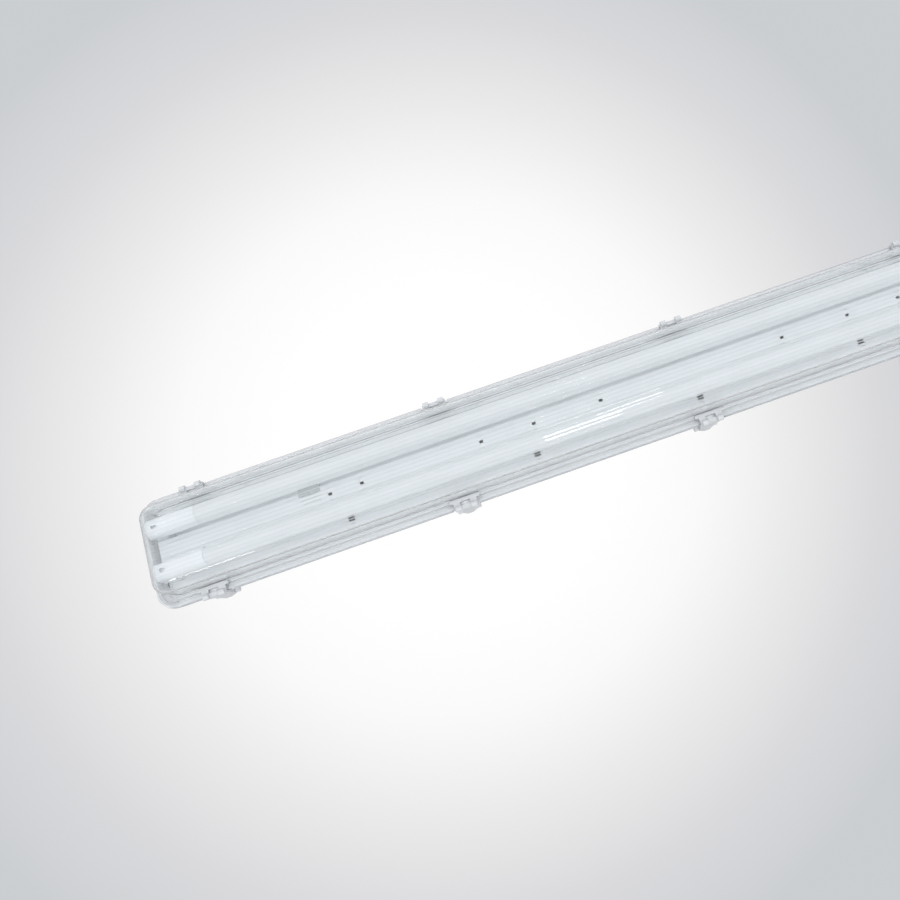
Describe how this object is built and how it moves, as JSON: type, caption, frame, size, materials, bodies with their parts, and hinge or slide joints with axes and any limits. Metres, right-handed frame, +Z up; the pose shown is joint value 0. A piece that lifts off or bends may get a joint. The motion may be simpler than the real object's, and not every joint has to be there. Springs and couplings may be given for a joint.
{
  "type": "batten light",
  "caption": "Long weatherproof ceiling light: straight tube lamps on a gear tray under a clear ribbed cover, closed by side clips that swing open.",
  "frame": {"origin": "Middle of the ceiling face, on the central pad of the housing's back", "axes": "+X along the length towards the end with the cable gland, +Y across, +Z up into the ceiling, so the light hangs below z = 0"},
  "size_m": [1.5838, 0.1612, 0.0965],
  "materials": {
    "housing": "satin moulded, light grey",
    "clear": "clear, moulded",
    "foam": "closed-cell foam",
    "painted_steel": "white powder coat",
    "clip": "smooth moulded",
    "white": "white moulded",
    "frosted": "frosted",
    "board": "coated circuit board",
    "block": "moulded grey",
    "stainless": "rolled stainless steel",
    "rubber": "matt black",
    "gland": "moulded light grey",
    "brown": "wire insulation",
    "blue": "wire insulation",
    "green": "wire insulation"
  },
  "bodies": {
    "fitting": {"housing": "housing", "rim_gasket": "foam", "diffuser": "clear", "gear_tray": "painted_steel", "lampholder_1a": "white", "lampholder_1b": "white", "lampholder_2a": "white", "lampholder_2b": "white", "terminal_block": "block", "earth_screw": "stainless", "live_wire_1": "brown", "neutral_wire_1": "blue", "live_wire_2": "brown", "neutral_wire_2": "blue", "earth_wire": "green", "bracket_1": "stainless", "bracket_2": "stainless", "gland_body": "gland", "gland_seal": "rubber", "gland_locknut": "gland", "entry_plug": "gland", "plug_locknut": "gland", "rear_grommet": "rubber"},
    "lamp_1": {"lamp_1_tube": "frosted", "lamp_1_cap_a": "white", "lamp_1_cap_b": "white", "lamp_1_led_board": "board", "lamp_1_driver": "board", "rotor_1a": "white", "rotor_1b": "white"},
    "lamp_2": {"lamp_2_tube": "frosted", "lamp_2_cap_a": "white", "lamp_2_cap_b": "white", "lamp_2_led_board": "board", "lamp_2_driver": "board", "rotor_2a": "white", "rotor_2b": "white"},
    "gland_cap": {"gland_nut": "gland"},
    "button_1": {"turn_button_1": "white"},
    "button_2": {"turn_button_2": "white"},
    "button_3": {"turn_button_3": "white"},
    "button_4": {"turn_button_4": "white"},
    "front_clip_1": {"clip_front_1": "clip"},
    "front_clip_2": {"clip_front_2": "clip"},
    "front_clip_3": {"clip_front_3": "clip"},
    "front_clip_4": {"clip_front_4": "clip"},
    "front_clip_5": {"clip_front_5": "clip"},
    "rear_clip_1": {"clip_rear_1": "clip"},
    "rear_clip_2": {"clip_rear_2": "clip"},
    "rear_clip_3": {"clip_rear_3": "clip"},
    "rear_clip_4": {"clip_rear_4": "clip"},
    "rear_clip_5": {"clip_rear_5": "clip"}
  },
  "joints": [
    {"name": "front_clip_1_swing", "type": "hinge", "parent": "fitting", "child": "front_clip_1", "pos_m": [-0.7112, -0.073, -0.009], "axis": [-1, 0, 0], "range_deg": [0, 90]},
    {"name": "front_clip_2_swing", "type": "hinge", "parent": "fitting", "child": "front_clip_2", "pos_m": [-0.3556, -0.073, -0.009], "axis": [-1, 0, 0], "range_deg": [0, 90]},
    {"name": "front_clip_3_swing", "type": "hinge", "parent": "fitting", "child": "front_clip_3", "pos_m": [0, -0.073, -0.009], "axis": [-1, 0, 0], "range_deg": [0, 90]},
    {"name": "front_clip_4_swing", "type": "hinge", "parent": "fitting", "child": "front_clip_4", "pos_m": [0.3556, -0.073, -0.009], "axis": [-1, 0, 0], "range_deg": [0, 90]},
    {"name": "front_clip_5_swing", "type": "hinge", "parent": "fitting", "child": "front_clip_5", "pos_m": [0.7112, -0.073, -0.009], "axis": [-1, 0, 0], "range_deg": [0, 90]},
    {"name": "rear_clip_1_swing", "type": "hinge", "parent": "fitting", "child": "rear_clip_1", "pos_m": [-0.7112, 0.073, -0.009], "axis": [1, 0, 0], "range_deg": [0, 90]},
    {"name": "rear_clip_2_swing", "type": "hinge", "parent": "fitting", "child": "rear_clip_2", "pos_m": [-0.3556, 0.073, -0.009], "axis": [1, 0, 0], "range_deg": [0, 90]},
    {"name": "rear_clip_3_swing", "type": "hinge", "parent": "fitting", "child": "rear_clip_3", "pos_m": [0, 0.073, -0.009], "axis": [1, 0, 0], "range_deg": [0, 90]},
    {"name": "rear_clip_4_swing", "type": "hinge", "parent": "fitting", "child": "rear_clip_4", "pos_m": [0.3556, 0.073, -0.009], "axis": [1, 0, 0], "range_deg": [0, 90]},
    {"name": "rear_clip_5_swing", "type": "hinge", "parent": "fitting", "child": "rear_clip_5", "pos_m": [0.7112, 0.073, -0.009], "axis": [1, 0, 0], "range_deg": [0, 90]},
    {"name": "lamp_1_turn", "type": "hinge", "parent": "fitting", "child": "lamp_1", "pos_m": [0, 0.0293, -0.0777], "axis": [1, 0, 0], "range_deg": [0, 90]},
    {"name": "lamp_2_turn", "type": "hinge", "parent": "fitting", "child": "lamp_2", "pos_m": [0, -0.0293, -0.0777], "axis": [1, 0, 0], "range_deg": [0, 90]},
    {"name": "button_1_turn", "type": "hinge", "parent": "fitting", "child": "button_1", "pos_m": [0.29952, 0.047, -0.043], "axis": [0, 0, 1], "range_deg": [0, 90]},
    {"name": "button_2_turn", "type": "hinge", "parent": "fitting", "child": "button_2", "pos_m": [-0.29952, 0.047, -0.043], "axis": [0, 0, 1], "range_deg": [0, 90]},
    {"name": "button_3_turn", "type": "hinge", "parent": "fitting", "child": "button_3", "pos_m": [0.63744, 0.047, -0.043], "axis": [0, 0, 1], "range_deg": [0, 90]},
    {"name": "button_4_turn", "type": "hinge", "parent": "fitting", "child": "button_4", "pos_m": [-0.63744, 0.047, -0.043], "axis": [0, 0, 1], "range_deg": [0, 90]},
    {"name": "gland_nut_turn", "type": "hinge", "parent": "fitting", "child": "gland_cap", "pos_m": [0.785, 0, -0.021], "axis": [1, 0, 0], "range_deg": [0, 360]}
  ]
}
